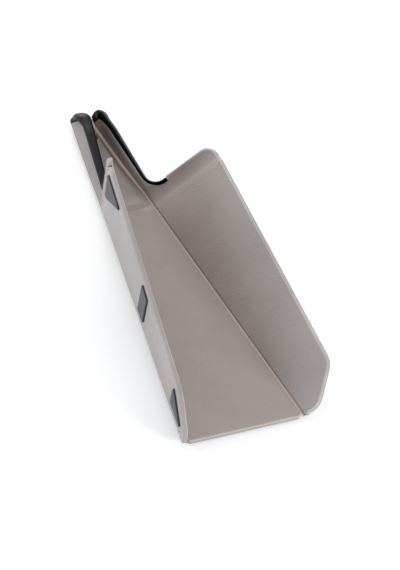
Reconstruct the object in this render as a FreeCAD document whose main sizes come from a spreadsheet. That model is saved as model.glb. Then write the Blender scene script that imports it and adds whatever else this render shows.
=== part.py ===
import FreeCAD, Part
import math
import os
import Sketcher
from FreeCAD import Placement, Rotation, Vector

doc = FreeCAD.newDocument("folding_board")
sheet = doc.addObject("Spreadsheet::Sheet", "dims")

# Driving sizes of the board laid out flat: millimetres and degrees, x across, y from front to handle.
sizes = {
    "boardLength": 380.0,
    "boardWidth": 215.0,
    "originLine": 130.0,
    "plateThick": 4.5,
    "foldFront": 61.5,
    "foldRear": 9.0,
    "foldLeft": 77.0,
    "foldRight": 54.0,
    "hingeSet": 1.0,
    "hingeDepth": 0.6,
    "webThick": 0.7,
    "frontLength": 78.5,
    "chamferLength": 29.0,
    "frontRadius": 18.0,
    "baseRadius": 4.0,
    "rimRadius": 20.0,
    "shoulderRadius": 12.0,
    "handleLength": 104.0,
    "rampRun": 16.0,
    "lipRise": 3.5,
    "lipLift": 2.5,
    "handleRoot": 33.8,
    "handleEnd": 28.4,
    "rootRadius": 14.0,
    "endRadius": 16.0,
    "neckRun": 18.0,
    "flangeLowNeck": 2.4,
    "flangeLowEnd": 6.0,
    "flangeThick": 3.6,
    "flangeReach": 4.0,
    "gripTail": 1.8,
    "gripWall": 2.5,
    "gripBand": 4.8,
    "gripLowRoot": -1.6,
    "gripLowNeck": 0.7,
    "gripLowEnd": 3.2,
    "capLow": 5.5,
    "gripTopRoot": 5.0,
    "gripTopNeck": 8.3,
    "gripTopEnd": 12.2,
    "capTop": 2.0,
    "capGap": 2.5,
    "crownRise": 2.8,
    "crownFlat": 0.4,
    "holeBore": 9.0,
    "holeInset": 29.0,
    "padSeat": 0.8,
    "padProud": 1.7,
    "padRimGap": 6.0,
    "padFoldGap": 14.0,
    "padEdgeGap": 19.5,
    "rearPadLength": 38.0,
    "middlePadLine": 132.0,
    "middlePadLength": 16.5,
    "frontPadRear": 38.0,
    "frontPadLength": 30.5,
    "frontPadWidth": 29.5,
    "frontPadSkew": 3.5,
    "frontPadInset": 7.0,
}
for row, alias in enumerate(sizes, 1):
    sheet.set("A%d" % row, alias)
    sheet.set("B%d" % row, "%g" % sizes[alias])
    sheet.setAlias("B%d" % row, alias)
doc.recompute()


class Size:
    # A number together with the sheet expression that gives it.
    def __init__(self, value, text):
        self.value = value
        self.text = text

    def __add__(self, other):
        other = asSize(other)
        return Size(self.value + other.value, "(%s + %s)" % (self.text, other.text))

    def __sub__(self, other):
        other = asSize(other)
        return Size(self.value - other.value, "(%s - %s)" % (self.text, other.text))

    def __mul__(self, other):
        other = asSize(other)
        return Size(self.value * other.value, "(%s * %s)" % (self.text, other.text))

    def __truediv__(self, other):
        other = asSize(other)
        return Size(self.value / other.value, "(%s / %s)" % (self.text, other.text))


def asSize(number):
    if isinstance(number, Size):
        return number
    return Size(float(number), "(%.6f)" % number)


def dim(alias):
    return Size(sizes[alias], "dims." + alias)


length = dim("boardLength")
thick = dim("plateThick")
halfWidth = dim("boardWidth") / 2
foldSlope = math.atan2(sizes["foldFront"] - sizes["foldRear"], sizes["boardLength"])
edgeSet = dim("hingeSet") / math.cos(foldSlope)
coreEnd = length - dim("gripWall")
shoulder = length - dim("handleLength")
ramp = shoulder - dim("rampRun")
neck = shoulder + dim("neckRun")
holeLine = length - dim("holeInset")
gripReach = dim("handleRoot") + dim("rootRadius") + dim("gripTail")


def foldAt(y):
    # Half distance between the two fold lines at the station y.
    return dim("foldFront") - (dim("foldFront") - dim("foldRear")) * asSize(y) / length


def handleAt(y):
    # Half width of the handle over its grip at the station y.
    return dim("handleRoot") - (dim("handleRoot") - dim("handleEnd")) * (asSize(y) - shoulder) / dim("handleLength")


def newBody(name):
    body = doc.addObject("PartDesign::Body", name)
    body.Label = name
    return body


def originPlane(body, tag):
    for item in body.Origin.OriginFeatures:
        if item.Role == tag:
            return item
    raise ValueError(tag)


def pin(rules, geometry, end, x, y):
    # Ties one end of a line to its place on the sheet.
    for kind, axis, place in (("DistanceX", -2, x), ("DistanceY", -1, y)):
        if abs(place.value) < 1e-9:
            rules.append((Sketcher.Constraint("PointOnObject", geometry, end, axis), None))
        elif place.value > 0:
            rules.append((Sketcher.Constraint(kind, -1, 1, geometry, end, place.value), place.text))
        else:
            rules.append((Sketcher.Constraint(kind, geometry, end, -1, 1, -place.value), "-1 * " + place.text))


def applyRules(sketch, rules):
    indices = sketch.addConstraint([rule[0] for rule in rules])
    for index, rule in zip(indices, rules):
        if rule[1] is not None:
            sketch.setExpression("Constraints[%d]" % index, rule[1])


def cornerArc(before, at, after, radius):
    # Start, end and counter-clockwise arc that rounds one corner of an outline.
    toBefore = (before - at).normalize()
    toAfter = (after - at).normalize()
    half = toBefore.getAngle(toAfter) / 2
    reach = radius / math.tan(half)
    start = at + toBefore * reach
    end = at + toAfter * reach
    centre = at + (toBefore + toAfter).normalize() * (radius / math.sin(half))
    forward = (start - centre).cross(end - centre).z > 0
    first, last = (start, end) if forward else (end, start)
    angles = [math.atan2(point.y - centre.y, point.x - centre.x) for point in (first, last)]
    if angles[1] < angles[0]:
        angles[1] += 2 * math.pi
    arc = Part.ArcOfCircle(Part.Circle(centre, Vector(0, 0, 1), radius), angles[0], angles[1])
    return start, end, arc, forward


def outline(body, name, plane, corners, offset=None):
    # Closed sketch through the corners (x, y, radius), each tied to the sheet.
    sketch = body.newObject("Sketcher::SketchObject", name)
    sketch.AttachmentSupport = [(originPlane(body, plane), "")]
    sketch.MapMode = "FlatFace"
    if offset is not None:
        sketch.AttachmentOffset = Placement(Vector(0, 0, offset.value), Rotation())
        sketch.setExpression("AttachmentOffset.Base.z", offset.text)
    count = len(corners)
    points = [Vector(corner[0].value, corner[1].value, 0) for corner in corners]
    starts = list(points)
    ends = list(points)
    arcs = {}
    for i in range(count):
        if len(corners[i]) > 2:
            ends[i], starts[i], *arcs[i] = cornerArc(points[i - 1], points[i], points[(i + 1) % count],
                                                     corners[i][2].value)
    for i in range(count):
        sketch.addGeometry(Part.LineSegment(starts[i], ends[(i + 1) % count]), False)
    rules = []
    for i in range(count):
        x, y = corners[i][:2]
        before = (i - 1) % count
        if i not in arcs:
            rules.append((Sketcher.Constraint("Coincident", before, 2, i, 1), None))
            pin(rules, i, 1, x, y)
            continue
        arc = sketch.addGeometry(arcs[i][0], False)
        first, last = (1, 2) if arcs[i][1] else (2, 1)
        rules.append((Sketcher.Constraint("Coincident", before, 2, arc, first), None))
        rules.append((Sketcher.Constraint("Coincident", arc, last, i, 1), None))
        pin(rules, before, 2, x + (ends[i].x - points[i].x), y + (ends[i].y - points[i].y))
        pin(rules, i, 1, x + (starts[i].x - points[i].x), y + (starts[i].y - points[i].y))
        rules.append((Sketcher.Constraint("Radius", arc, corners[i][2].value), corners[i][2].text))
    applyRules(sketch, rules)
    return sketch


def pad(body, name, sketch, depth, symmetric=False):
    feature = body.newObject("PartDesign::Pad", name)
    feature.Profile = sketch
    feature.Length = depth.value
    feature.setExpression("Length", depth.text)
    feature.SideType = "Symmetric" if symmetric else "One side"
    sketch.Visibility = False
    doc.recompute()
    return feature


def pocket(body, name, sketch, depth, upward=False, symmetric=False):
    before = body.Shape.Volume
    feature = body.newObject("PartDesign::Pocket", name)
    feature.Profile = sketch
    feature.Length = depth.value
    feature.setExpression("Length", depth.text)
    feature.SideType = "Symmetric" if symmetric else "One side"
    feature.Reversed = upward
    sketch.Visibility = False
    doc.recompute()
    if not body.Shape.Volume < before - 1e-3:
        raise ValueError(name + " removed nothing")
    return feature


def loft(body, name, sections):
    feature = body.newObject("PartDesign::AdditiveLoft", name)
    feature.Profile = sections[0]
    feature.Sections = sections[1:]
    feature.Ruled = True
    doc.recompute()
    return feature


def seatPlace():
    # The underside of the base panel lies at zero, with the origin at originLine behind its front edge.
    return Placement(Vector(0, -sizes["originLine"], sizes["plateThick"]), Rotation())


def foldedPlace(side):
    # Turns a flat wing up about its fold line.
    angle = sizes["foldRight"] if side > 0 else sizes["foldLeft"]
    start = Vector(side * sizes["foldFront"], 0, -sizes["hingeDepth"])
    along = Vector(-side * math.sin(foldSlope), math.cos(foldSlope), 0)
    return seatPlace() * Placement(Vector(), Rotation(along, -side * angle), start)


def mirrored(side, corners):
    return [(corner[0] * side,) + tuple(corner[1:]) for corner in corners]


def section(body, name, y, corners):
    # Cross-section sketch standing across the board at the station y.
    return outline(body, name, "XZ_Plane", corners, asSize(y) * -1)


def makeBase():
    body = newBody("base_panel")
    front = foldAt(0) - edgeSet
    rear = foldAt(coreEnd) - edgeSet
    zero = asSize(0)
    plate = outline(body, "base_outline", "XY_Plane", [
        (front * -1, zero, dim("baseRadius")), (front, zero, dim("baseRadius")), (rear, coreEnd),
        (rear * -1, coreEnd)], thick * -1)
    pad(body, "base_plate", plate, thick)
    stations = []
    for tag, y in (("front", ramp), ("rear", coreEnd)):
        half = foldAt(y) - edgeSet
        flat = half * dim("crownFlat")
        stations.append(section(body, "crown_" + tag, y, [
            (half * -1, thick / -2), (half, thick / -2), (half, zero), (flat, dim("crownRise")),
            (flat * -1, dim("crownRise")), (half * -1, zero)]))
    loft(body, "tongue_crown", stations)
    ring = body.newObject("Sketcher::SketchObject", "hanging_ring")
    ring.AttachmentSupport = [(originPlane(body, "XY_Plane"), "")]
    ring.MapMode = "FlatFace"
    ring.AttachmentOffset = Placement(Vector(0, 0, sizes["crownRise"]), Rotation())
    ring.setExpression("AttachmentOffset.Base.z", "dims.crownRise")
    ring.addGeometry(Part.Circle(Vector(0, holeLine.value, 0), Vector(0, 0, 1), sizes["holeBore"] / 2), False)
    ring.addConstraint(Sketcher.Constraint("PointOnObject", 0, 3, -2))
    index = ring.addConstraint(Sketcher.Constraint("DistanceY", -1, 1, 0, 3, holeLine.value))
    ring.setExpression("Constraints[%d]" % index, holeLine.text)
    index = ring.addConstraint(Sketcher.Constraint("Diameter", 0, sizes["holeBore"]))
    ring.setExpression("Constraints[%d]" % index, "dims.holeBore")
    pocket(body, "hanging_hole", ring, thick + dim("crownRise"))
    body.Placement = seatPlace()
    return body


def padOutlines():
    # Flat outlines of the three anti-slip pads on the right wing.
    rim = halfWidth - dim("padRimGap")
    rearLine = shoulder - dim("padEdgeGap")
    middleRear = dim("middlePadLine") + dim("middlePadLength") / 2
    middleFront = dim("middlePadLine") - dim("middlePadLength") / 2
    frontRear = dim("frontPadRear")
    outer = halfWidth - dim("frontPadInset")
    inner = outer - dim("frontPadWidth")
    return {
        "rear": [(rim, rearLine), (rim - dim("rearPadLength"), rearLine), (rim, rearLine - dim("rearPadLength"))],
        "middle": [(rim, middleFront), (rim, middleRear), (foldAt(middleRear) + dim("padFoldGap"), middleRear),
                   (foldAt(middleFront) + dim("padFoldGap"), middleFront)],
        "front": [(inner + dim("frontPadSkew"), frontRear - dim("frontPadLength")), (outer, frontRear),
                  (inner, frontRear)],
    }


def makeWing(side, tag):
    body = newBody(tag + "_wing")
    zero = asSize(0)
    reach = gripReach
    plate = outline(body, tag + "_outline", "XY_Plane", mirrored(side, [
        (foldAt(0) + edgeSet, zero), (dim("frontLength"), zero, dim("frontRadius")),
        (halfWidth, dim("chamferLength"), dim("rimRadius")), (halfWidth, shoulder, dim("shoulderRadius")),
        (reach, shoulder), (reach, ramp), (foldAt(ramp) + edgeSet, ramp)]), thick * -1)
    pad(body, tag + "_plate", plate, thick)
    stations = []
    for name, y in (("ramp", ramp), ("neck", neck), ("end", coreEnd)):
        inner = foldAt(y) + edgeSet
        outer = handleAt(y) - dim("gripWall")
        middle = outer - dim("flangeReach")
        low = dim("flangeLowNeck") if name == "neck" else dim("flangeLowEnd")
        top = low + dim("flangeThick")
        corners = [(inner, thick * -1), (middle, low), (outer, low), (outer, top), (middle, top), (inner, zero)]
        if name == "ramp":
            corners = [(inner, thick * -1), (reach - 12, thick * -1), (reach, thick * -1),
                       (reach, zero), (reach - 12, zero), (inner, zero)]
        stations.append(section(body, "%s_section_%s" % (tag, name), y, mirrored(side, corners)))
    loft(body, tag + "_handle", stations)
    lipStart = dim("handleRoot")
    lipRun = halfWidth - lipStart
    offset = lipStart if side > 0 else (lipStart + lipRun) * -1
    lip = outline(body, tag + "_lip_profile", "YZ_Plane", [
        (ramp, thick / -2), (shoulder, thick / -2), (shoulder, dim("lipRise")), (ramp, zero)], offset)
    pad(body, tag + "_lip", lip, lipRun)
    lift = outline(body, tag + "_lift_profile", "YZ_Plane", [
        (ramp, thick * -1), (ramp, thick * -2), (shoulder, thick * -2), (shoulder, dim("lipLift") - thick)])
    pocket(body, tag + "_lift", lift, halfWidth * 3, symmetric=True)
    wall = dim("gripWall")
    beyond = halfWidth + 20
    trim = outline(body, tag + "_trim", "XY_Plane", mirrored(side, [
        (reach, shoulder), (reach, shoulder - wall),
        (dim("handleRoot") - wall, shoulder - wall, dim("rootRadius") + wall),
        (dim("handleEnd") - wall, length), (beyond, length), (beyond, ramp - dim("shoulderRadius")),
        (halfWidth, ramp - dim("shoulderRadius")), (halfWidth, shoulder, dim("shoulderRadius"))]))
    pocket(body, tag + "_edge", trim, thick * 8, symmetric=True)
    for name, corners in padOutlines().items():
        seat = outline(body, "%s_%s_seat_outline" % (tag, name), "XY_Plane", mirrored(side, corners), thick * -1)
        pocket(body, "%s_%s_seat" % (tag, name), seat, dim("padSeat"), upward=True)
    body.Placement = foldedPlace(side)
    doc.recompute()
    return body


def makeGrip(side, tag, wing):
    form = newBody(tag + "_grip_form")
    wall = dim("gripBand")
    capSet = edgeSet + dim("capGap")
    band = outline(form, tag + "_grip_band", "XY_Plane", mirrored(side, [
        (gripReach, shoulder),
        (dim("handleRoot"), shoulder, dim("rootRadius")),
        (dim("handleEnd"), length, dim("endRadius")),
        (foldAt(length) + capSet, length),
        (foldAt(length - wall) + capSet, length - wall),
        (dim("handleEnd") - wall, length - wall, dim("endRadius") - wall),
        (dim("handleRoot") - wall, shoulder - wall, dim("rootRadius") + wall),
        (gripReach, shoulder - wall)]))
    pad(form, tag + "_grip_pad", band, dim("gripTopEnd") * 4, symmetric=True)
    near = shoulder - wall * 2
    high = dim("gripTopEnd") * 3
    top = outline(form, tag + "_grip_top", "YZ_Plane", [
        (near, dim("gripTopRoot")), (shoulder, dim("gripTopRoot")), (neck, dim("gripTopNeck")),
        (length + wall, dim("gripTopEnd")), (length + wall, high), (near, high)])
    pocket(form, tag + "_grip_above", top, halfWidth * 3, symmetric=True)
    low = outline(form, tag + "_grip_low", "YZ_Plane", [
        (near, dim("gripLowRoot")), (shoulder, dim("gripLowRoot")), (neck, dim("gripLowNeck")),
        (length - wall, dim("gripLowEnd")), (length - wall, dim("capLow") * -1),
        (length + wall, dim("capLow") * -1), (length + wall, high * -1), (near, high * -1)])
    pocket(form, tag + "_grip_below", low, halfWidth * 3, symmetric=True)
    capLine = length - wall
    slope = dim("handleEnd") - wall - dim("flangeReach")
    capLow = section(form, tag + "_cap_low", capLine, mirrored(side, [
        (dim("foldRear"), dim("capLow") * -1), (slope, dim("gripLowEnd")),
        (halfWidth, dim("gripLowEnd")), (halfWidth, high * -1), (dim("foldRear"), high * -1)]))
    pocket(form, tag + "_cap_below", capLow, wall * 2)
    capTop = section(form, tag + "_cap_top", capLine, mirrored(side, [
        (dim("foldRear"), dim("capTop")), (slope, dim("gripTopEnd")), (slope, high), (dim("foldRear"), high)]))
    pocket(form, tag + "_cap_above", capTop, wall * 2)
    form.Placement = foldedPlace(side)
    grip = doc.addObject("Part::Cut", tag + "_grip")
    grip.Label = tag + "_grip"
    grip.Base = form
    grip.Tool = wing
    doc.recompute()
    return grip


def makePads(side, tag):
    made = []
    for name, corners in padOutlines().items():
        body = newBody("%s_%s_pad" % (tag, name))
        shape = outline(body, "%s_%s_pad_outline" % (tag, name), "XY_Plane", mirrored(side, corners),
                        (thick + dim("padProud")) * -1)
        pad(body, "%s_%s_rubber" % (tag, name), shape, dim("padProud") + dim("padSeat"))
        body.Placement = foldedPlace(side)
        made.append(body)
    doc.recompute()
    return made


def makeWeb(side, tag):
    # Thin living hinge, bent about the fold line between the edges of panel and wing.
    body = newBody(tag + "_hinge_web")
    angle = math.radians(sizes["foldRight"] if side > 0 else sizes["foldLeft"])
    top = sizes["hingeDepth"]
    low = top - sizes["webThick"]
    edge = sizes["hingeSet"]

    def turned(u, w, share):
        return (u * math.cos(angle * share) - w * math.sin(angle * share),
                u * math.sin(angle * share) + w * math.cos(angle * share))

    bend = [(-edge, top), (-edge, low), turned(0, low, 0.5), turned(edge, low, 1), turned(edge, top, 1),
            turned(0, top * 0.8, 0.5)]
    stations = []
    for name, y in (("front", asSize(0)), ("rear", coreEnd)):
        corners = [(foldAt(y) + u / math.cos(foldSlope), asSize(w) - dim("hingeDepth")) for u, w in bend]
        stations.append(section(body, "%s_web_%s" % (tag, name), y, mirrored(side, corners)))
    loft(body, tag + "_web", stations)
    body.Placement = seatPlace()
    return body


parts = [makeBase()]
for side, tag in ((-1, "left"), (1, "right")):
    wing = makeWing(side, tag)
    parts.append(wing)
    parts.append(makeGrip(side, tag, wing))
    parts.extend(makePads(side, tag))
    parts.append(makeWeb(side, tag))
doc.recompute()

for item in doc.Objects:
    if "Invalid" in item.State or "Error" in item.State:
        raise ValueError("%s is in error" % item.Label)
os.makedirs("parts", exist_ok=True)
for part in parts:
    shape = part.Shape
    if shape.isNull() or not shape.isValid() or len(shape.Solids) != 1:
        raise ValueError("%s is not one valid solid" % part.Label)
    shape.exportStep(os.path.join("parts", part.Label + ".step"))
    print(part.Label, round(shape.Volume), [round(v, 1) for v in (
        shape.BoundBox.XMin, shape.BoundBox.XMax, shape.BoundBox.YMin, shape.BoundBox.YMax,
        shape.BoundBox.ZMin, shape.BoundBox.ZMax)])
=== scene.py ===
import math
import bpy
import bmesh
from mathutils import Matrix, Quaternion, Vector
from mathutils.geometry import delaunay_2d_cdt


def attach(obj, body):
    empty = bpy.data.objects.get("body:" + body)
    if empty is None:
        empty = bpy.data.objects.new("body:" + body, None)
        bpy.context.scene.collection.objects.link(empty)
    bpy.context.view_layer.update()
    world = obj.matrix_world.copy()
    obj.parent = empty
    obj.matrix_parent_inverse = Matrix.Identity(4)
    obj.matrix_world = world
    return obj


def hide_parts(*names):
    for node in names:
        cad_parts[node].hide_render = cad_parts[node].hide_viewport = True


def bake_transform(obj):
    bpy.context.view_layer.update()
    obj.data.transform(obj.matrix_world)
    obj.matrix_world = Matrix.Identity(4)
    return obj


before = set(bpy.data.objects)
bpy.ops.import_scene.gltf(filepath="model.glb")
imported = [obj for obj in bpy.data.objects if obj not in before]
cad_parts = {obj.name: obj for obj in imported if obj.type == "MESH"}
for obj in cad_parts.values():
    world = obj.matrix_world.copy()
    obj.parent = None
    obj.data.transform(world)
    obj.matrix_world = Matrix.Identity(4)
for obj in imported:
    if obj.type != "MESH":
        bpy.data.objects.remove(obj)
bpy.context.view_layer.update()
print("frame loaded")

mm = 0.001
sides = {"left": -1, "right": 1}
board = {"length": 380, "thick": 4.5, "foldFront": 61.5, "foldRear": 9, "leftFold": 77, "rightFold": 54,
         "hingeSet": 1.0, "chopSet": 0.6, "hingeDepth": 0.6, "originLine": 130, "tongueEnd": 377.5,
         "lipLine": 257, "handleLine": 262, "handleRun": 60}  # lying flat, in mm and degrees
foldLean = math.atan2(board["foldFront"] - board["foldRear"], board["length"])
notch = {"front": 261.3, "rear": 263.3, "slope": 0.2, "room": 0.1, "tall": 2.6, "deep": 1.8,
         "fromX": 99, "run": 3, "rimX": 100}  # short slit in the rim of each wing
notchRows = [notch["front"] - notch["room"], notch["front"] + notch["slope"],
             notch["rear"] - notch["slope"], notch["rear"] + notch["room"]]


def clamp(v, low=0.0, high=1.0):
    return max(low, min(high, v))


def ease(v):
    v = clamp(v)
    return v * v * (3 - 2 * v)


def along(v, stops):
    # straight runs between (place, value) stops
    if v <= stops[0][0]:
        return stops[0][1]
    for (a, va), (b, vb) in zip(stops, stops[1:]):
        if v <= b:
            return va + (vb - va) * (v - a) / (b - a)
    return stops[-1][1]


def foldAt(y):
    return board["foldFront"] - (board["foldFront"] - board["foldRear"]) * y / board["length"]


def handleZone(y):
    # 0 on the chopping part, 1 along the handle
    return ease((y - board["handleLine"]) / board["handleRun"])


def edgeAt(y):
    # plate edges stand off the fold, further on the chopping part
    return (board["hingeSet"] + board["chopSet"] * (1 - handleZone(y))) / math.cos(foldLean)


def seat(side):
    # flat board in mm to its place in the frame in metres, side 0 is the base
    place = Matrix.Scale(mm, 4) @ Matrix.Translation((0, -board["originLine"], board["thick"]))
    if side:
        angle = math.radians(board["rightFold"] if side > 0 else board["leftFold"])
        pivot = Vector((side * board["foldFront"], 0, -board["hingeDepth"]))
        axis = Vector((-side * math.sin(foldLean), math.cos(foldLean), 0))
        turn = Matrix.Rotation(-side * angle, 4, axis)
        fold = Matrix.Translation(pivot) @ turn @ Matrix.Translation(-pivot)
        place = place @ fold @ Matrix.Diagonal((side, 1, 1, 1))
    return place


def rounded(corners, step=0.14, closed=True):
    # corners as (x, y, radius), radius 0 keeps the point, arcs in steps of about so many radians
    points, count = [], len(corners)
    for i, (x, y, radius) in enumerate(corners):
        here = Vector((x, y))
        if radius == 0 or (not closed and i in (0, count - 1)):
            points.append(here)
            continue
        before = (Vector(corners[i - 1][:2]) - here).normalized()
        after = (Vector(corners[(i + 1) % count][:2]) - here).normalized()
        half = before.angle(after) / 2
        reach = radius / math.tan(half)
        centre = here + (before + after).normalized() * radius / math.sin(half)
        first, last = here + before * reach - centre, here + after * reach - centre
        sweep = math.atan2(first.cross(last), first.dot(last))
        turns = max(3, round(abs(sweep) / step))
        for k in range(turns + 1):
            spin = Matrix.Rotation(sweep * k / turns, 2)
            points.append(centre + spin @ first)
    return points


def divided(points, gap, closed=True):
    out = []
    ends = points[1:] + points[:1] if closed else points[1:]
    for a, b in zip(points, ends):
        parts = max(1, math.ceil((b - a).length / gap))
        out += [a.lerp(b, k / parts) for k in range(parts)]
    return out if closed else out + [points[-1]]


def inset(loop, dists):
    # moves each point inwards, corners no sharper than the limit
    out, limit = [], -0.5
    for i, (here, dist) in enumerate(zip(loop, dists)):
        a = (here - loop[i - 1]).normalized()
        b = (loop[(i + 1) % len(loop)] - here).normalized()
        na, nb = Vector((-a.y, a.x)), Vector((-b.y, b.x))
        out.append(here + (na + nb) * (dist / (1 + max(limit, na.dot(nb)))))
    return out


def inside(p, loop):
    hit = False
    for a, b in zip(loop, loop[1:] + loop[:1]):
        if (a.y > p.y) != (b.y > p.y) and p.x < a.x + (b.x - a.x) * (p.y - a.y) / (b.y - a.y):
            hit = not hit
    return hit


def nearLoop(p, loop):
    best = math.inf
    for a, b in zip(loop, loop[1:] + loop[:1]):
        d = b - a
        t = clamp((p - a).dot(d) / max(d.length_squared, 1e-9))
        best = min(best, (p - a - d * t).length)
    return best


def gridOver(x0, x1, y0, y1, gap):
    # staggered rows of points, each with the gap it keeps
    points = []
    rows = max(1, round((y1 - y0) / gap))
    cols = max(1, round((x1 - x0) / gap))
    for j in range(rows + 1):
        shift = 0.5 * (j % 2)
        for i in range(cols + 1):
            x, y = x0 + (x1 - x0) * (i + shift) / cols, y0 + (y1 - y0) * j / rows
            points.append((Vector((x, y)), gap))
    return points


def linked(name, data):
    obj = bpy.data.objects.new(name, data)
    bpy.context.collection.objects.link(obj)
    return obj


def smoothPiece(name, bm):
    for f in bm.faces:
        f.smooth = True
    mesh = bpy.data.meshes.new(name)
    bm.to_mesh(mesh)
    bm.free()
    return linked(name, mesh)


def stitch(bm, rings):
    for ra, rb in zip(rings, rings[1:]):
        for i in range(len(ra)):
            j = (i + 1) % len(ra)
            bm.faces.new((ra[i], ra[j], rb[j], rb[i]))


rimSizes = {"lowFlat": 0.4, "paintedFlat": 0.2, "fade": 0.25, "paintedFrom": 0.8, "plainSteps": 2,
            "spacing": 0.55, "weld": 1e-5}  # shared by all plates


def plate(name, loops, top, low, softTop, softLow, border, grid, side, bend=5, nick=lambda p: 0,
          paintLowRim=False):
    # a plate with rounded rims between two height rules
    # the first loop is the outside, the others are holes and run clockwise
    bm = bmesh.new()
    flat = bm.loops.layers.uv.new("flat")
    cut = bm.verts.layers.float.new("chopFace")
    shadingLayer = bm.verts.layers.float.new("rimShading")
    slitLayer = bm.verts.layers.float.new("slitShade")
    spot = {}

    def point(p, z, chop=0, shading=0, slitDark=0):
        v = bm.verts.new((p.x, p.y, z))
        v[cut], v[shadingLayer], v[slitLayer] = chop, shading, slitDark
        spot[v] = (p.x, p.y)
        return v

    def ring(loop, rule, dists, drops, shading, slitDark, chop=0):
        places = zip(inset(loop, dists), drops, shading, slitDark)
        return [point(p, rule(p.x, p.y) + d, chop, w, g) for p, d, w, g in places]

    caps = {"top": [], "low": []}
    steps = [math.pi / 2 * k / bend for k in range(bend + 1)]
    for loop in loops:
        none = [0] * len(loop)
        tops, lows = [softTop(p) for p in loop], [softLow(p) for p in loop]
        edges, cuts = [border(p) for p in loop], [nick(p) for p in loop]
        # rims rounder than this get the painted rim tone: a painted highlight on the plastic, painted shade
        # on the pads
        paintedRim = [1 if r > rimSizes["paintedFrom"] else 0 for r in tops]
        slitShaded = [1 if c > 0 else 0 for c in cuts]
        paintedSide = paintedRim if paintLowRim else none
        dists = [r + rimSizes["lowFlat"] + c for r, c in zip(lows, cuts)]
        rings = [ring(loop, low, dists, none, none, slitShaded)]
        for a in steps[::-1]:
            dists = [r * (1 - math.cos(a)) + c for r, c in zip(lows, cuts)]
            rings.append(ring(loop, low, dists, [r * (1 - math.sin(a)) for r in lows], paintedSide, slitShaded))
        for k, a in enumerate(steps):
            dists = [r * (1 - math.cos(a)) for r in tops]
            drops = [r * (math.sin(a) - 1) for r in tops]
            shading = paintedSide if k < rimSizes["plainSteps"] else paintedRim
            rings.append(ring(loop, top, dists, drops, shading, none))
        rings.append(ring(loop, top, [r + rimSizes["paintedFlat"] for r in tops], none, paintedRim, none))
        rings.append(ring(loop, top, [e - rimSizes["fade"] for e in edges], none, none, none))
        rings.append(ring(loop, top, edges, none, none, none, chop=1))
        for which, line in (("low", rings[0]), ("top", rings[-1])):
            caps[which].append(([Vector(v.co.xy) for v in line], line))
        stitch(bm, rings)
    for which, rule in (("top", top), ("low", low)):
        points, verts, edges = [], [], []
        for path, line in caps[which]:
            start, n = len(points), len(path)
            points += path
            verts += line
            edges += [(start + i, start + (i + 1) % n) for i in range(n)]
        outer, holes = caps[which][0][0], [c[0] for c in caps[which][1:]]
        onOuter, onRings = len(outer), len(points)
        for p, gap in grid:
            if not inside(p, outer) or any(inside(p, hole) for hole in holes):
                continue
            if min(nearLoop(p, path) for path in [outer] + holes) <= gap * rimSizes["spacing"]:
                continue
            points.append(p)
            chop = 1 if which == "top" else 0
            slitDark = 1 if which == "low" and nick(p) > 0 else 0
            verts.append(point(p, rule(p.x, p.y), chop, 0, slitDark))
        tris, back = delaunay_2d_cdt(points, edges, [], 1, rimSizes["weld"])[2:4]
        for tri in tris:
            if all(onOuter <= back[i][0] < onRings for i in tri):
                continue  # lies over a hole
            corner = [verts[back[i][0]] for i in tri]
            bm.faces.new(corner if which == "top" else corner[::-1])
    for f in bm.faces:
        for corner in f.loops:
            x, y = spot[corner.vert]
            corner[flat].uv = (x * mm, y * mm)
    place = seat(side)
    bm.transform(place)
    if place.determinant() < 0:
        bmesh.ops.reverse_faces(bm, faces=bm.faces[:])
    return smoothPiece(name, bm)


def srgb(r, g, b):
    return [((c / 255 + 0.055) / 1.055) ** 2.4 if c > 10 else c / 255 / 12.92 for c in (r, g, b)] + [1]


def cleared(material):
    material.use_nodes = True
    material.node_tree.nodes.clear()
    return material.node_tree


def wire(tree, node, sockets):
    # each socket takes a plain value or a link
    for key, value in sockets.items():
        if isinstance(value, bpy.types.NodeSocket):
            tree.links.new(value, node.inputs[key])
        else:
            node.inputs[key].default_value = value
    return node


def add(tree, kind, sockets):
    return wire(tree, tree.nodes.new(kind), sockets)


def reckon(tree, kind, a, b=0):
    node = add(tree, "ShaderNodeMath", {0: a, 1: b})
    node.operation = kind
    return node.outputs[0]


def fade(tree, value, fromMin=0, fromMax=1, toMin=0, toMax=1, kind="LINEAR"):
    node = add(tree, "ShaderNodeMapRange", {
        "Value": value, "From Min": fromMin, "From Max": fromMax, "To Min": toMin, "To Max": toMax})
    node.interpolation_type = kind
    return node.outputs[0]


def mixed(tree, tone, other, share, blend="MIX"):
    node = tree.nodes.new("ShaderNodeMix")
    node.data_type = "RGBA"
    node.blend_type = blend
    wire(tree, node, {"A": tone, "B": other, "Factor": share})
    return node.outputs["Result"]


def ramp(tree, value, stops):
    node = add(tree, "ShaderNodeValToRGB", {"Fac": value})
    band = node.color_ramp.elements
    for element, (place, tone) in zip(band, (stops[0], stops[-1])):
        element.position = place
        element.color = tone
    for place, tone in stops[1:-1]:
        band.new(place).color = tone
    return node.outputs["Color"]


def noise(tree, place, scale, detail):
    sockets = {"Vector": place, "Scale": scale, "Detail": detail}
    return add(tree, "ShaderNodeTexNoise", sockets).outputs["Fac"]


def vertexMark(tree, name):
    node = tree.nodes.new("ShaderNodeAttribute")
    node.attribute_name = name
    return node.outputs["Fac"]


# pitShade, smooth, seamHighlight, paintedRim and slitShade paint light and shade onto the plastic's own dark
# and pale tone
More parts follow.
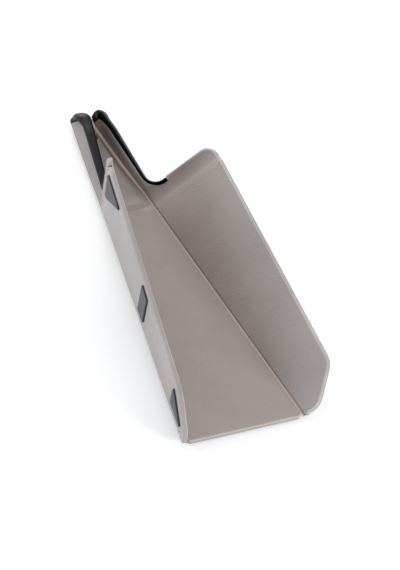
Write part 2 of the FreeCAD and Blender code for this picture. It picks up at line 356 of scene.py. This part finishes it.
plasticLook = {"dark": srgb(161, 151, 147), "pale": srgb(170, 160, 156), "toneStops": (0.3, 0.7),
               "cloudScale": 22, "cloudDetail": 4, "grainScale": 1400, "grainDetail": 3,
               "grainLift": 0.12, "grainDepth": 0.2, "rough": (0.42, 0.56), "gloss": 0.4,
               "pitShade": (0.84, 0.83, 0.82, 1), "dimpleScale": 490, "dimpleTurn": 45, "dimpleStray": 0.12,
               "dimple": (0.08, 0.5), "dimpleLift": 0.35, "dimpleDepth": 0.3, "dimpleRun": (0.4, -0.6),
               "smooth": (0.655, 0.65, 0.645, 1), "smoothSide": 0.7, "smoothRun": (1, 18),
               "seamHighlight": srgb(188, 178, 172), "seamShare": 0.5, "seamRun": (-1, -0.3, 0.8, 1.8),
               "paintedRim": srgb(214, 202, 193), "slitShade": srgb(46, 40, 36)}  # runs are in mm behind the lip


def fromLip(run):
    return [(board["lipLine"] + d) * mm for d in run]


def taupePlastic(look):
    mat = bpy.data.materials.new("taupePlastic")
    tree = cleared(mat)
    sheet = tree.nodes.new("ShaderNodeUVMap")
    sheet.uv_map = "flat"
    flat = sheet.outputs["UV"]
    rearward = add(tree, "ShaderNodeSeparateXYZ", {0: flat}).outputs["Y"]
    chopFace = vertexMark(tree, "chopFace")
    grain = noise(tree, flat, look["grainScale"], look["grainDetail"])
    cloud = noise(tree, flat, look["cloudScale"], look["cloudDetail"])

    front = fade(tree, rearward, *fromLip(look["dimpleRun"]))  # 1 in front of the lip line
    chop = reckon(tree, "MULTIPLY", front, chopFace)
    turned = add(tree, "ShaderNodeMapping", {
        "Rotation": (0, 0, math.radians(look["dimpleTurn"])), "Vector": flat}).outputs[0]
    cells = tree.nodes.new("ShaderNodeTexVoronoi")
    cells.voronoi_dimensions = "2D"
    wire(tree, cells, {"Vector": turned, "Scale": look["dimpleScale"], "Randomness": look["dimpleStray"]})
    dimple = fade(tree, cells.outputs["Distance"], *look["dimple"], kind="SMOOTHSTEP")
    dotted = reckon(tree, "MULTIPLY", dimple, chop)
    sunk = reckon(tree, "SUBTRACT", chop, dotted)

    tone = ramp(tree, cloud, list(zip(look["toneStops"], (look["dark"], look["pale"]))))
    tone = mixed(tree, tone, look["pitShade"], sunk, "MULTIPLY")  # painted shade darkens the sunk dimples
    behind = fade(tree, rearward, *fromLip(look["smoothRun"]))
    shade = reckon(tree, "MULTIPLY", behind, fade(tree, chopFace, toMin=look["smoothSide"]))
    tone = mixed(tree, tone, look["smooth"], shade, "MULTIPLY")  # painted shade darkens the smooth lip and handle, which lie in shade
    shares = [[share, share, share, 1] for share in (0, look["seamShare"], look["seamShare"], 0)]
    seamHighlight = ramp(tree, rearward, list(zip(fromLip(look["seamRun"]), shares)))
    tone = mixed(tree, tone, look["seamHighlight"], seamHighlight)  # painted highlight: a pale line where the texture stops, like a small edge catching the light
    rimGlint = reckon(tree, "MULTIPLY", vertexMark(tree, "rimShading"), cloud)
    tone = mixed(tree, tone, look["paintedRim"], rimGlint)  # painted highlight: rounded rims are paler where they catch the light
    tone = mixed(tree, tone, look["slitShade"], vertexMark(tree, "slitShade"))  # painted shade: the rim notch is darkened as a shadowed slit

    fine = add(tree, "ShaderNodeBump", {
        "Strength": look["grainLift"], "Distance": look["grainDepth"] * mm, "Height": grain})
    press = add(tree, "ShaderNodeBump", {
        "Strength": look["dimpleLift"], "Distance": look["dimpleDepth"] * mm, "Height": dotted,
        "Normal": fine.outputs["Normal"]})
    lowRough, highRough = look["rough"]
    skin = add(tree, "ShaderNodeBsdfPrincipled", {
        "Base Color": tone, "Roughness": fade(tree, grain, toMin=lowRough, toMax=highRough),
        "Specular IOR Level": look["gloss"], "Normal": press.outputs["Normal"]})
    add(tree, "ShaderNodeOutputMaterial", {"Surface": skin.outputs["BSDF"]})
    return mat


# each vertex mark brings in the marked tone
softLooks = {
    # the grip's near-black tone is painted shade of its inner side; its outer mark is painted light, lighter
    # and glossier
    "gripRubber": {"dark": srgb(3, 3, 3), "pale": srgb(7, 7, 7), "rough": 0.4, "gloss": 0.26, "dull": 0.02,
                   "scale": 1800, "lift": 0.15, "mark": "outer", "marked": srgb(16, 16, 16)},
    # the pads' marked tone is painted shade on their rims and side walls
    "padRubber": {"dark": srgb(89, 89, 91), "pale": srgb(101, 101, 103), "rough": 0.75, "gloss": 0.3,
                  "scale": 1500, "lift": 0.2, "mark": "rimShading", "marked": srgb(58, 58, 62)},
    # the hinge web's tone is darker than the plastic as painted shade of the groove along the fold
    "hingeSkin": {"dark": srgb(120, 108, 101), "pale": srgb(132, 120, 112), "rough": 0.5, "gloss": 0.4,
                  "scale": 900, "lift": 0.1, "mark": "paleLine", "marked": srgb(232, 208, 190)}}
softCloud = {"scale": 60, "detail": 5, "toneStops": (0.35, 0.75), "smoother": 0.06, "rougher": 0.1,
             "grainDetail": 4, "grainDepth": 0.3, "glossRun": (-0.2, 0.6)}  # shared by the three


def softMaterial(name):
    look = softLooks[name]
    mat = bpy.data.materials.new(name)
    tree = cleared(mat)
    place = tree.nodes.new("ShaderNodeTexCoord").outputs["Object"]
    grain = noise(tree, place, look["scale"], softCloud["grainDetail"])
    cloud = noise(tree, place, softCloud["scale"], softCloud["detail"])
    tone = ramp(tree, cloud, list(zip(softCloud["toneStops"], (look["dark"], look["pale"]))))
    marked = vertexMark(tree, look["mark"])
    gloss = look["gloss"]
    if "dull" in look:  # painted shade: the unmarked inner side stays dull
        gloss = fade(tree, marked, *softCloud["glossRun"], look["dull"], look["gloss"])
    lowRough, highRough = look["rough"] - softCloud["smoother"], look["rough"] + softCloud["rougher"]
    bump = add(tree, "ShaderNodeBump", {
        "Strength": look["lift"], "Distance": softCloud["grainDepth"] * mm, "Height": grain})
    skin = add(tree, "ShaderNodeBsdfPrincipled", {
        "Base Color": mixed(tree, tone, look["marked"], marked),
        "Roughness": fade(tree, cloud, toMin=lowRough, toMax=highRough),
        "Specular IOR Level": gloss, "Normal": bump.outputs["Normal"]})
    add(tree, "ShaderNodeOutputMaterial", {"Surface": skin.outputs["BSDF"]})
    return mat


plastic = taupePlastic(plasticLook)
gripRubber, padRubber, hingeSkin = [softMaterial(name) for name in softLooks]
print("materials made")

basePanel = {"rim": 1.0, "foldEdge": 0.3, "corner": 4, "border": 1, "frontZone": 3, "endZone": 0.1,
             "crown": 2.8, "crownFlat": 0.4, "crownRound": 0.4, "riser": 260, "riserRun": 1.6,
             "hole": 9, "holeLine": 351, "holeRim": 0.6, "holeZone": 5, "tuck": 1.9, "sink": 2.6}
baseMesh = {"edge": 6, "holeSteps": 32, "chop": (-60, 60, 5, 249, 8), "riserParts": 15, "riserGap": 0.8,
            "riserRows": (-4, -1.5, 0.05, 0.4, 0.8, 1.2, 1.6, 3), "tongueParts": 8, "tongueGap": 1.2,
            "tongueRows": range(266, 376, 4), "sideRows": [*range(365, 324, -10), *range(317, 268, -8)]}


def tongueHalf(y):
    return foldAt(y) - edgeAt(y) - basePanel["tuck"] * handleZone(y)


def baseTop(x, y):
    crown = basePanel["crown"] * ease((y - basePanel["riser"]) / basePanel["riserRun"])
    flank = clamp((abs(x) / tongueHalf(y) - basePanel["crownFlat"]) / (1 - basePanel["crownFlat"]))
    fall = (1 - basePanel["crownRound"]) * flank + basePanel["crownRound"] * ease(flank)
    return crown + (-basePanel["sink"] * handleZone(y) - crown) * fall


def baseSoft(p):
    if abs(p.x) < basePanel["holeZone"] and abs(p.y - basePanel["holeLine"]) < basePanel["holeZone"]:
        return basePanel["holeRim"]
    atEnd = p.y < basePanel["frontZone"] or p.y > board["tongueEnd"] - basePanel["endZone"]
    return basePanel["rim"] if atEnd else basePanel["foldEdge"]


def acrossTongue(rows, parts, gap):
    return [(Vector((tongueHalf(y) * k / parts, y)), gap) for y in rows for k in range(1 - parts, parts)]


end = board["tongueEnd"]
sideLine = [end] + baseMesh["sideRows"] + notchRows[::-1]  # rows that tongue, wings and webs share
frontHalf = board["foldFront"] - edgeAt(0)
baseOutline = [(-frontHalf, 0, basePanel["corner"]), (frontHalf, 0, basePanel["corner"])]
baseOutline += [(tongueHalf(y), y, 0) for y in sideLine[::-1]]
baseOutline += [(-tongueHalf(y), y, 0) for y in sideLine]
baseOutline = divided(rounded(baseOutline), baseMesh["edge"])
holeRing = []
for k in range(baseMesh["holeSteps"]):
    turn, radius = -k * 2 * math.pi / baseMesh["holeSteps"], basePanel["hole"] / 2  # clockwise
    holeRing.append(Vector((radius * math.cos(turn), basePanel["holeLine"] + radius * math.sin(turn))))
baseGrid = gridOver(*baseMesh["chop"])
baseGrid += acrossTongue([basePanel["riser"] + d for d in baseMesh["riserRows"]],
                         baseMesh["riserParts"], baseMesh["riserGap"])
baseGrid += acrossTongue(baseMesh["tongueRows"], baseMesh["tongueParts"], baseMesh["tongueGap"])
centre = plate("basePanel", [baseOutline, holeRing], baseTop, lambda x, y: -board["thick"],
               baseSoft, baseSoft, lambda p: baseSoft(p) + basePanel["border"], baseGrid, 0)
centre.data.materials.append(plastic)
print("base panel", len(centre.data.polygons))

wingSizes = {"frontX": 78.5, "chamferY": 29, "frontRadius": 18, "rimX": 107.5, "rimRadius": 20,
             "shoulder": 276, "shoulderRadius": 12, "lipInset": 0.7, "lipStep": 1.4, "gripReach": 51.5,
             "wall": 1.6, "gutterEdge": 3.5, "rootX": 33.8, "endX": 28.4, "rootRadius": 14, "bendLine": 350,
             "bendX": 27.2, "bendRadius": 60, "edgeX": 23.2, "edgeRadius": 11, "rim": 1.5, "border": 2.7,
             "foldEdge": 0.3, "foldBorder": 0.9, "foldZone": 0.4, "reach": 1.0, "sink": 2.6, "belly": 0.5}
wingMesh = {"edge": 5, "chop": (20, 106, 5, 249, 8), "handle": (8, 34, 277, 377, 2.5),
            "lipRows": (-3, -0.6, -0.1, 0.2, 0.5, 1.2, 2.5), "lip": (3, 30, 0.8),
            "shoulder": (20, 107, 265, 275, 2.2), "notch": (1.5, 59, 0.6)}
lipRise = [(256.9, 0), (257.5, 0.25), (262, 0.45), (266, 0.95), (270, 1.85), (273, 2.9), (276, 4.2),
           (285, 5.0), (294, 5.6), (380, 9.6)]  # upper face along the board
lipLift = [(259, 0), (264, 0.35), (270, 1.4), (276, 3.0), (285, 5.2), (294, 6.9), (380, 10.5)]  # lower face
notchRise = [(notch["front"], 0), (notchRows[1], notch["tall"]),
             (notchRows[2], notch["tall"]), (notch["rear"], 0)]


def handleAt(y):
    share = (y - wingSizes["shoulder"]) / (board["length"] - wingSizes["shoulder"])
    return wingSizes["rootX"] + (wingSizes["endX"] - wingSizes["rootX"]) * share


def wingStart(y):
    return foldAt(y) + edgeAt(y) - wingSizes["reach"] * handleZone(y)


def gutter(x, y):
    # 0 at the fold, 1 where the raised wall of the handle begins
    middle = handleAt(max(y, wingSizes["shoulder"])) - wingSizes["wall"] - wingSizes["gutterEdge"]
    t = clamp((x - wingStart(y)) / (middle - wingStart(y)))
    return (t + ease(t)) / 2


def wingTop(x, y):
    g = gutter(x, y)
    return along(y, lipRise) * g - wingSizes["sink"] * handleZone(y) * (1 - g)


def wingLow(x, y):
    g = gutter(x, y)
    hollow = along(y, lipLift) * g - wingSizes["belly"] * handleZone(y) * (1 - g)
    slit = along(y, notchRise) * ease((x - notch["fromX"]) / notch["run"])
    return -board["thick"] + hollow + slit


def onFold(p):
    return abs(p.x - wingStart(p.y)) < wingSizes["foldZone"]


def wingSoft(p):
    return wingSizes["foldEdge"] if onFold(p) else wingSizes["rim"]


def wingBorder(p):
    return wingSizes["foldBorder"] if onFold(p) else wingSizes["border"]


def wingNick(p):
    return notch["deep"] if p.x > notch["rimX"] and notch["front"] < p.y < notch["rear"] else 0


def rowsOver(rows, step, count, gap):
    return [(Vector((wingMesh["chop"][0] + step * i, y)), gap) for y in rows for i in range(count)]


wall, lip = wingSizes["wall"], wingSizes["rimX"] - wingSizes["lipInset"]
wingOutline = [
    (wingStart(0), 0, 0), (wingSizes["frontX"], 0, wingSizes["frontRadius"]),
    (wingSizes["rimX"], wingSizes["chamferY"], wingSizes["rimRadius"]),
    (wingSizes["rimX"], board["lipLine"], 0), (lip, board["lipLine"] + wingSizes["lipStep"], 0)]
wingOutline += [(lip, y, 0) for y in notchRows]
wingOutline += [
    (lip, wingSizes["shoulder"], wingSizes["shoulderRadius"]),
    (wingSizes["gripReach"], wingSizes["shoulder"], 0),
    (wingSizes["gripReach"], wingSizes["shoulder"] - wall, 0),
    (wingSizes["rootX"] - wall, wingSizes["shoulder"] - wall, wingSizes["rootRadius"] + wall),
    (wingSizes["bendX"], wingSizes["bendLine"], wingSizes["bendRadius"]),
    (wingSizes["edgeX"], end, wingSizes["edgeRadius"])]
wingOutline += [(wingStart(y), y, 0) for y in sideLine]
wingOutline = divided(rounded(wingOutline), wingMesh["edge"])
wingGrid = gridOver(*wingMesh["chop"]) + gridOver(*wingMesh["handle"])
wingGrid += rowsOver([board["lipLine"] + d for d in wingMesh["lipRows"]], *wingMesh["lip"])
wingGrid += gridOver(*wingMesh["shoulder"])
wingGrid += rowsOver(sorted(notchRows + [(notch["front"] + notch["rear"]) / 2]), *wingMesh["notch"])
wings = {}
for body, side in sides.items():
    wings[body] = plate(body + "Wing", [wingOutline], wingTop, wingLow, wingSoft, wingSoft, wingBorder,
                        wingGrid, side, nick=wingNick)
    wings[body].data.materials.append(plastic)
print("wings", len(wings["left"].data.polygons))

web = {"thick": 0.7, "across": 16, "rows": 48, "lap": 0.1, "pale": 1.7, "paleChop": 0.55}


def paleShare(y, t):
    # the strip is pale beside the base, most along the handle: partly stress-whitened plastic, partly a
    # painted highlight on the edge
    if (wingStart(y) - tongueHalf(y)) * t >= web["pale"]:
        return 0
    return web["paleChop"] + (1 - web["paleChop"]) * handleZone(y)


def hingeWeb(name, side):
    # a thin strip bent from the base edge to the wing edge
    onBase, onWing = seat(0), seat(side)
    lines = sorted(set([round(end * k / web["rows"], 3) for k in range(web["rows"] + 1)] + sideLine))
    bm = bmesh.new()
    tint = bm.verts.layers.float.new("paleLine")
    rings = []
    for y in lines:
        depth = board["hingeDepth"] + wingSizes["sink"] * handleZone(y)
        a = onBase @ Vector((side * (tongueHalf(y) - web["lap"]), y, -depth))
        b = onBase @ Vector((side * foldAt(y), y, -depth))
        c = onWing @ Vector((wingStart(y) + web["lap"], y, -depth))
        over, under = [], []
        for i in range(web["across"] + 1):
            t = i / web["across"]
            p = a * (1 - t) ** 2 + b * 2 * t * (1 - t) + c * t * t
            d = (b - a) * (1 - t) + (c - b) * t
            n = Vector((-d.z, 0, d.x)).normalized() * side * web["thick"] / 2 * mm
            for line, q in ((over, p + n), (under, p - n)):
                v = bm.verts.new(q)
                v[tint] = paleShare(y, t)
                line.append(v)
        rings.append(over + under[::-1])
    stitch(bm, rings)
    for ring in (rings[0], rings[-1]):
        for i in range(web["across"]):
            bm.faces.new((ring[i], ring[i + 1], ring[-2 - i], ring[-1 - i]))
    bmesh.ops.recalc_face_normals(bm, faces=bm.faces[:])
    return smoothPiece(name, bm)


webs = {body: hingeWeb(body + "HingeWeb", side) for body, side in sides.items()}
for obj in webs.values():
    obj.data.materials.append(hingeSkin)
print("hinge webs", len(webs["left"].data.polygons))

grip = {"rootX": 32.55, "bendX": 27.47, "endX": 22.85, "inset": 4.0, "shoulderInset": 2.9, "lap": 0.05,
        "endRadius": 9.8, "tip": 0.3, "capLine": 358, "swell": 0.5, "swellRun": 9, "step": 2.0,
        "endShare": 0.55, "endRun": 1.2, "endSteps": (0.08, 0.25, 0.5, 0.8, 1.2), "around": 28,
        "square": 0.72, "markLift": 0.7, "markLow": 0.6}
gripTop = [(273, 3.8), (282, 6.0), (294, 8.3), (374, 12.9)]  # along the handle
gripLow = [(274, -0.2), (282, 0.2), (294, 0.7), (374, 2.5)]
gripSpan = [(273, 2.1), (284, 1.6), (294, 1.5), (374, 3.1)]
capTop = [(10, 0.1), (15.4, 3.5), (21.4, 9.1), (25, 13.5)]  # across the handle end, from the fold outwards
capLow = [(10, -5.2), (15.4, -2.6), (21.4, -2.2), (25, -2.7)]


def gripTree():
    tree = bpy.data.node_groups.new("gripSweep", "GeometryNodeTree")
    face, keys = tree.interface, {}
    face.new_socket("Geometry", in_out="INPUT", socket_type="NodeSocketGeometry")
    for key, kind in (("Around", "Int"), ("Square", "Float"), ("Material", "Material")):
        keys[key] = face.new_socket(key, in_out="INPUT", socket_type="NodeSocket" + kind).identifier
    face.new_socket("Geometry", in_out="OUTPUT", socket_type="NodeSocketGeometry")
    start, stop = tree.nodes.new("NodeGroupInput").outputs, tree.nodes.new("NodeGroupOutput")

    def named(name, kind="FLOAT"):
        node = tree.nodes.new("GeometryNodeInputNamedAttribute")
        node.data_type = kind
        return wire(tree, node, {"Name": name}).outputs["Attribute"]

    def store(geometry, name, value, kind="FLOAT"):
        node = tree.nodes.new("GeometryNodeStoreNamedAttribute")
        node.data_type = kind
        return wire(tree, node, {"Geometry": geometry, "Name": name, "Value": value}).outputs["Geometry"]

    def vector(kind, sockets):
        node = tree.nodes.new("ShaderNodeVectorMath")
        node.operation = kind
        return wire(tree, node, sockets).outputs[0]

    def squared(v):
        # pushes the round profile towards a soft-cornered box
        size = reckon(tree, "POWER", reckon(tree, "ABSOLUTE", v), start["Square"])
        return reckon(tree, "MULTIPLY", size, reckon(tree, "SIGN", v))

    place = tree.nodes.new("GeometryNodeInputPosition").outputs[0]
    tangent = tree.nodes.new("GeometryNodeInputTangent").outputs[0]
    spine = add(tree, "GeometryNodeMeshToCurve", {0: start["Geometry"]}).outputs[0]
    path = store(spine, "pathPlace", place, "FLOAT_VECTOR")
    path = store(path, "pathAside", vector("CROSS_PRODUCT", {0: tangent, 1: (0, 0, 1)}), "FLOAT_VECTOR")

    ring = add(tree, "GeometryNodeCurvePrimitiveCircle", {
        "Resolution": start["Around"], "Radius": 1}).outputs[0]
    apart = add(tree, "ShaderNodeSeparateXYZ", {0: place}).outputs
    profile = store(ring, "across", squared(apart["X"]))
    profile = store(profile, "lift", squared(apart["Y"]))
    across, lift = named("across"), named("lift")
    below = reckon(tree, "MAXIMUM", reckon(tree, "MULTIPLY", lift, -1), 0)
    outer = reckon(tree, "SUBTRACT", across, reckon(tree, "MULTIPLY", lift, grip["markLift"]))
    outer = reckon(tree, "ADD", outer, reckon(tree, "MULTIPLY", below, grip["markLow"]))
    profile = store(profile, "outer", outer)  # marks the side away from the fold, which the grip paints lighter as its lit side
    sweep = add(tree, "GeometryNodeCurveToMesh", {
        "Curve": path, "Profile Curve": profile, "Fill Caps": True}).outputs[0]

    inner = reckon(tree, "MAXIMUM", reckon(tree, "MULTIPLY", across, -1), 0)
    upper = reckon(tree, "MULTIPLY", reckon(tree, "ADD", lift, 1), named("swell"))
    # the cap is thicker over the upper face
    fatter = reckon(tree, "ADD", reckon(tree, "MULTIPLY", inner, upper), 1)
    span = reckon(tree, "MULTIPLY", reckon(tree, "MULTIPLY", across, named("span")), fatter)
    wide = vector("SCALE", {0: named("pathAside", "FLOAT_VECTOR"), "Scale": span})
    height = reckon(tree, "MULTIPLY", lift, named("reach"))
    tall = add(tree, "ShaderNodeCombineXYZ", {"Z": height}).outputs[0]
    final = vector("ADD", {0: named("pathPlace", "FLOAT_VECTOR"), 1: vector("ADD", {0: wide, 1: tall})})

    shape = add(tree, "GeometryNodeSetPosition", {"Geometry": sweep, "Position": final}).outputs[0]
    shape = add(tree, "GeometryNodeSetShadeSmooth", {"Geometry": shape}).outputs[0]
    shape = add(tree, "GeometryNodeRealizeInstances", {0: shape}).outputs[0]
    paint = add(tree, "GeometryNodeSetMaterial", {"Geometry": shape, "Material": start["Material"]})
    wire(tree, stop, {0: paint.outputs[0]})
    return tree, keys


gripSweep, gripKeys = gripTree()


def makeGrip(name, side):
    back, far = wingSizes["shoulder"] - grip["shoulderInset"], board["length"] - grip["inset"]
    tip = wingStart(far) + grip["tip"]
    corners = [(wingSizes["gripReach"] - grip["lap"], back, 0),
               (grip["rootX"], back, wingSizes["rootRadius"] + grip["shoulderInset"]),
               (grip["bendX"], wingSizes["bendLine"], wingSizes["bendRadius"]),
               (grip["endX"], far, grip["endRadius"]), (tip, far, 0)]
    spine = divided(rounded(corners, closed=False), grip["step"], closed=False)
    fine, run = [], 0
    for last, p in zip(spine[:1] + spine, spine):
        run += (p - last).length
        fine.append((p, run))
    total = run
    for d in grip["endSteps"]:  # rounded ends
        fine.append((spine[0].lerp(spine[1], d / (spine[1] - spine[0]).length), d))
        fine.append((spine[-1].lerp(spine[-2], d / (spine[-1] - spine[-2]).length), total - d))
    fine.sort(key=lambda f: f[1])
    points, spans, reaches, swells = [], [], [], []
    for p, run in fine:
        cap = ease((p.y - grip["capLine"]) / (far - grip["capLine"]))
        top = along(p.y, gripTop) * (1 - cap) + along(p.x, capTop) * cap
        low = along(p.y, gripLow) * (1 - cap) + along(p.x, capLow) * cap
        short = 1 - clamp(min(run, total - run) / grip["endRun"])
        taper = grip["endShare"] + (1 - grip["endShare"]) * math.sqrt(max(0, 1 - short ** 2))
        points.append((p.x, p.y, (top + low) / 2))
        reaches.append((top - low) / 2 * taper)
        swells.append(grip["swell"] * cap * clamp((p.x - tip) / grip["swellRun"]))
        spans.append((along(p.y, gripSpan) * (1 - cap) + grip["inset"] * cap) * taper)
    mesh = bpy.data.meshes.new(name + "Path")
    mesh.from_pydata(points, [(i, i + 1) for i in range(len(points) - 1)], [])
    for key, values in (("span", spans), ("reach", reaches), ("swell", swells)):
        mesh.attributes.new(key, "FLOAT", "POINT").data.foreach_set("value", values)
    source = linked(name + "Path", mesh)
    sweep = source.modifiers.new("gripSweep", "NODES")
    sweep.node_group = gripSweep
    sweep[gripKeys["Around"]] = grip["around"]
    sweep[gripKeys["Square"]] = grip["square"]
    sweep[gripKeys["Material"]] = gripRubber
    ready = source.evaluated_get(bpy.context.evaluated_depsgraph_get())
    made = bpy.data.meshes.new_from_object(ready)
    source.modifiers.remove(sweep)
    bpy.data.objects.remove(source)
    made.name = name
    bm = bmesh.new()
    bm.from_mesh(made)
    bm.transform(seat(side))
    bmesh.ops.recalc_face_normals(bm, faces=bm.faces[:])
    bm.to_mesh(made)
    bm.free()
    return linked(name, made)


grips = {body: makeGrip(body + "Grip", side) for body, side in sides.items()}
print("grips", len(grips["left"].data.polygons), len(grips["left"].data.materials))

padSizes = {"seat": -3.5, "face": -6.2, "seatSoft": 0.9, "soft": 0.7, "border": 1.6, "corner": 2.2,
            "cornerStep": 0.3, "edge": 6, "bend": 3, "outerX": 101.5, "foldGap": 14, "rearLine": 257.3,
            "middleFront": 123.75, "middleRear": 140.25}
outerX, rearLine = padSizes["outerX"], padSizes["rearLine"]
middleFront, middleRear = padSizes["middleFront"], padSizes["middleRear"]
padShapes = {
    "Rear": [(outerX, 216.8), (outerX, rearLine), (62, rearLine)],
    "Middle": [(foldAt(middleFront) + padSizes["foldGap"], middleFront), (outerX, middleFront),
               (outerX, middleRear), (foldAt(middleRear) + padSizes["foldGap"], middleRear)],
    "Front": [(74.5, 7.5), (100.5, 38), (71, 38)]}
pads = []
for body, side in sides.items():
    for kind, corners in padShapes.items():
        corners = [(x, y, padSizes["corner"]) for x, y in corners]
        ring = divided(rounded(corners, padSizes["cornerStep"]), padSizes["edge"])
        obj = plate(body + kind + "Pad", [ring],
                    lambda x, y: padSizes["seat"], lambda x, y: padSizes["face"],
                    lambda p: padSizes["seatSoft"], lambda p: padSizes["soft"], lambda p: padSizes["border"],
                    [], side, padSizes["bend"], paintLowRim=True)
        obj.data.materials.append(padRubber)
        pads.append((obj, body, body + "_" + kind.lower() + "_pad"))
print("pads", len(pads))

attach(centre, "base")
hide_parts("base_panel")
for body, side in sides.items():
    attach(wings[body], body)
    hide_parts(body + "_wing")
    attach(grips[body], body)
    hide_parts(body + "_grip")
    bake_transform(webs[body])
    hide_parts(body + "_hinge_web")
for obj, body, node in pads:
    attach(obj, body)
    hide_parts(node)
print("pieces ride on their bodies")

paperSizes = {"half": 6, "level": -0.00175,  # metres
              "tone": (0.9, 0.9, 0.9, 1), "glow": (0.23, 0.23, 0.23, 1)}
half, level = paperSizes["half"], paperSizes["level"]
floorMesh = bpy.data.meshes.new("floor")
floorCorners = [(-half, -half, level), (half, -half, level), (half, half, level), (-half, half, level)]
floorMesh.from_pydata(floorCorners, [], [(0, 1, 2, 3)])
floor = linked("floor", floorMesh)
paper = bpy.data.materials.new("paperFloor")
paperTree = cleared(paper)
rays = paperTree.nodes.new("ShaderNodeLightPath").outputs
seen = reckon(paperTree, "ADD", rays["Is Camera Ray"], rays["Is Glossy Ray"])
seen = reckon(paperTree, "ADD", seen, rays["Is Transmission Ray"])
matte = add(paperTree, "ShaderNodeBsdfDiffuse", {"Color": paperSizes["tone"]})
glow = add(paperTree, "ShaderNodeEmission", {"Color": paperSizes["glow"], "Strength": seen})
both = add(paperTree, "ShaderNodeAddShader", {0: matte.outputs[0], 1: glow.outputs[0]})
add(paperTree, "ShaderNodeOutputMaterial", {"Surface": both.outputs[0]})
floorMesh.materials.append(paper)

studio = {"Color": (1, 1, 1, 1), "Strength": 0.6}
world = bpy.data.worlds.new("studio")
bpy.context.scene.world = world
world.use_nodes = True
wire(world.node_tree, world.node_tree.nodes["Background"], studio)
white, skyBlue = (1, 1, 1), (0.62, 0.83, 1)
lampSizes = {"backStrip": {"place": (0.1, 1.5, 0.7), "size": 0.8, "power": 13, "tint": white},
             "frontStrip": {"place": (0.45, -0.75, 0.35), "size": 0.3, "power": 3.6, "tint": white},
             "leftStrip": {"place": (-1.5, -0.3, 0.3), "size": 0.6, "power": 8.2, "tint": skyBlue},
             "rearStrip": {"place": (-1.2, 0.9, 0.6), "size": 0.8, "power": 4.9, "tint": white}}
for name, sizes in lampSizes.items():
    lamp = bpy.data.lights.new(name, "AREA")
    lamp.size = sizes["size"]
    lamp.energy = sizes["power"]
    lamp.color = sizes["tint"]
    obj = linked(name, lamp)
    obj.location = sizes["place"]
    obj.rotation_euler = (-Vector(sizes["place"])).to_track_quat("-Z", "Y").to_euler()

photoView = {"lens": 177.27, "sensor": 36, "place": (-0.8476, -0.86816, 1.34573),
             "turn": (0.916865, 0.302256, -0.208628, -0.156441)}
cameraData = bpy.data.cameras.new("photoCamera")
cameraData.sensor_fit = "HORIZONTAL"
cameraData.sensor_width = photoView["sensor"]
cameraData.lens = photoView["lens"]
camera = linked("photoCamera", cameraData)
camera.location = photoView["place"]
camera.rotation_euler = Quaternion(photoView["turn"]).to_euler()
bpy.context.scene.camera = camera
bpy.context.scene.view_settings.view_transform = "Standard"
print("stage and camera")
